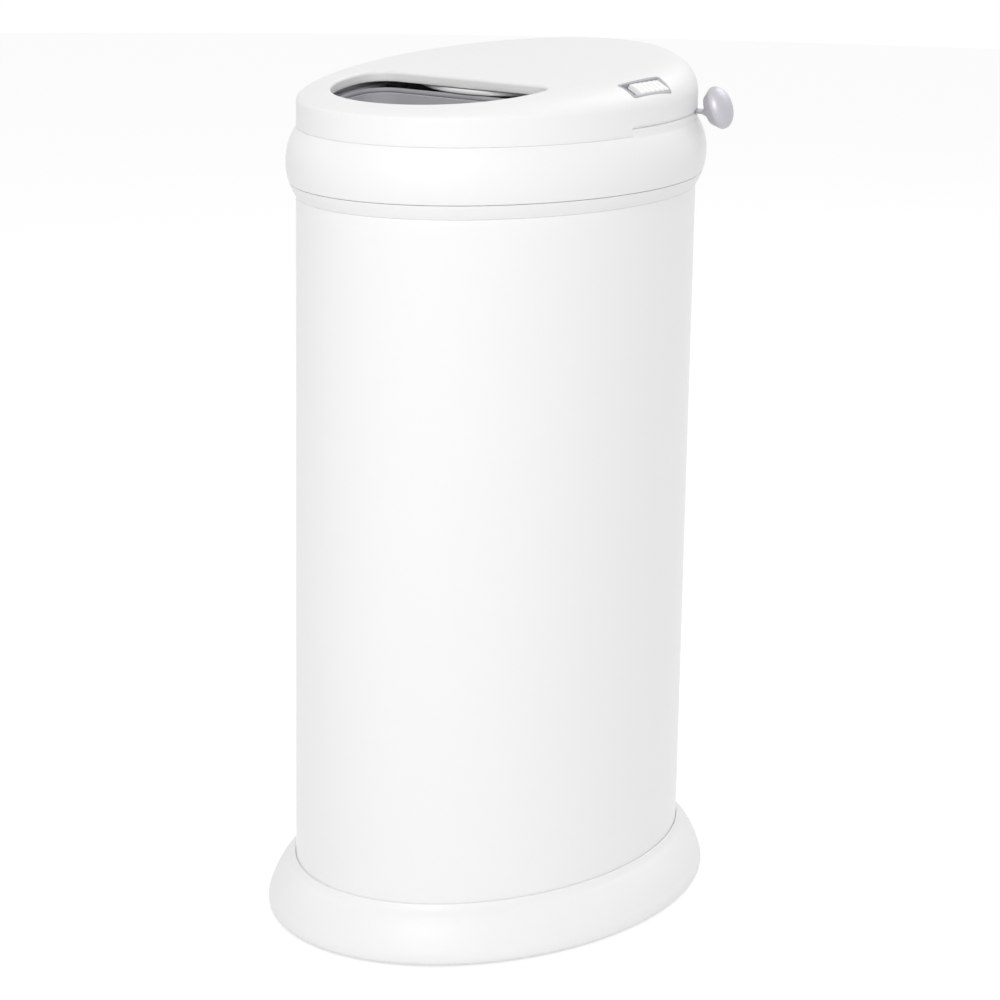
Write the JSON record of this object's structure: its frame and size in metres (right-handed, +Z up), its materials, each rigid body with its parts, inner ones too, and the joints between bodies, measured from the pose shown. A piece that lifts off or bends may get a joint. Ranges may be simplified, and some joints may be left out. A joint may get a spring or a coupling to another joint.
{
  "type": "nappy bin",
  "caption": "Tall oval steel nappy bin with a flared base, a bulged ring lid, a sliding top door worked by a silver side knob, and a child lock.",
  "frame": {"origin": "on the floor under the middle of the oval base", "axes": "+Z up, -Y towards the front of the mouth, +Y the hinge side, +X the side of the knob"},
  "size_m": [0.272, 0.36, 0.5798],
  "materials": {
    "white_steel": "white powder coat, satin",
    "white_plastic": "white moulded plastic, semi-gloss",
    "inner_plastic": "light grey moulded plastic",
    "silver": "silver, satin",
    "bright_steel": "bright zinc plate",
    "rubber": "grey rubber"
  },
  "bodies": {
    "bin": {"steel_body": "white_steel", "base_skirt": "white_plastic", "floor_pan": "bright_steel", "base_screw_1": "bright_steel", "base_screw_2": "bright_steel", "base_screw_3": "bright_steel", "base_screw_4": "bright_steel", "foot_1": "rubber", "foot_2": "rubber", "foot_3": "rubber", "foot_4": "rubber", "body_collar": "white_plastic", "keeper_plate": "bright_steel", "bag_ring": "inner_plastic", "hinge_bracket": "white_plastic", "hinge_pin": "bright_steel", "bracket_screw_1": "bright_steel", "bracket_screw_2": "bright_steel"},
    "lid": {"lid_ring": "white_plastic", "lid_cover": "white_plastic", "lid_seal": "rubber", "lid_magnet": "bright_steel", "hinge_leaf": "white_plastic", "leaf_screw_1": "bright_steel", "leaf_screw_2": "bright_steel", "inner_pan": "inner_plastic", "pan_screw_1": "bright_steel", "pan_screw_2": "bright_steel", "pan_screw_3": "bright_steel", "pan_screw_4": "bright_steel", "pan_screw_5": "bright_steel", "pan_screw_6": "bright_steel", "throat_chute": "inner_plastic", "mouth_seal": "rubber", "door_rail_right": "inner_plastic", "door_rail_left": "inner_plastic", "lock_bezel": "inner_plastic", "lock_pawl_pin": "bright_steel"},
    "door": {"sliding_door": "white_plastic", "door_fork": "white_plastic", "fork_screw_1": "bright_steel", "fork_screw_2": "bright_steel"},
    "knob": {"knob_stem": "silver", "stem_clip": "bright_steel", "knob_core": "inner_plastic", "knob_pin": "bright_steel", "knob_back_plate": "silver", "knob_cap": "silver"},
    "lock_slide_plate": {"lock_slider": "white_plastic"},
    "lock_pawl_arm": {"lock_pawl": "inner_plastic"}
  },
  "joints": [
    {"name": "lid_hinge", "type": "hinge", "parent": "bin", "child": "lid", "pos_m": [0, 0.171, 0.492], "axis": [-1, 0, 0], "range_deg": [0, 95]},
    {"name": "door_slide", "type": "slide", "parent": "lid", "child": "door", "axis": [0, -0.9976, -0.0698], "range_m": [0, 0.104]},
    {"name": "knob_slide", "type": "slide", "parent": "lid", "child": "knob", "axis": [0.2144, -0.9767, 0], "range_m": [0, 0.10642]},
    {"name": "lock_slide", "type": "slide", "parent": "lid", "child": "lock_slide_plate", "axis": [0, -1, 0], "range_m": [0, 0.01]},
    {"name": "lock_pawl_turn", "type": "hinge", "parent": "lid", "child": "lock_pawl_arm", "pos_m": [0.09936, 0.0182, 0.55117], "axis": [0.8706, 0, -0.4921], "range_deg": [0, 27.1]}
  ],
  "couplings": [
    {"joint": "knob_slide", "follows": "door_slide", "ratio": 1.0213},
    {"joint": "lock_pawl_turn", "follows": "lock_slide", "rad_per_m": 47.124}
  ]
}
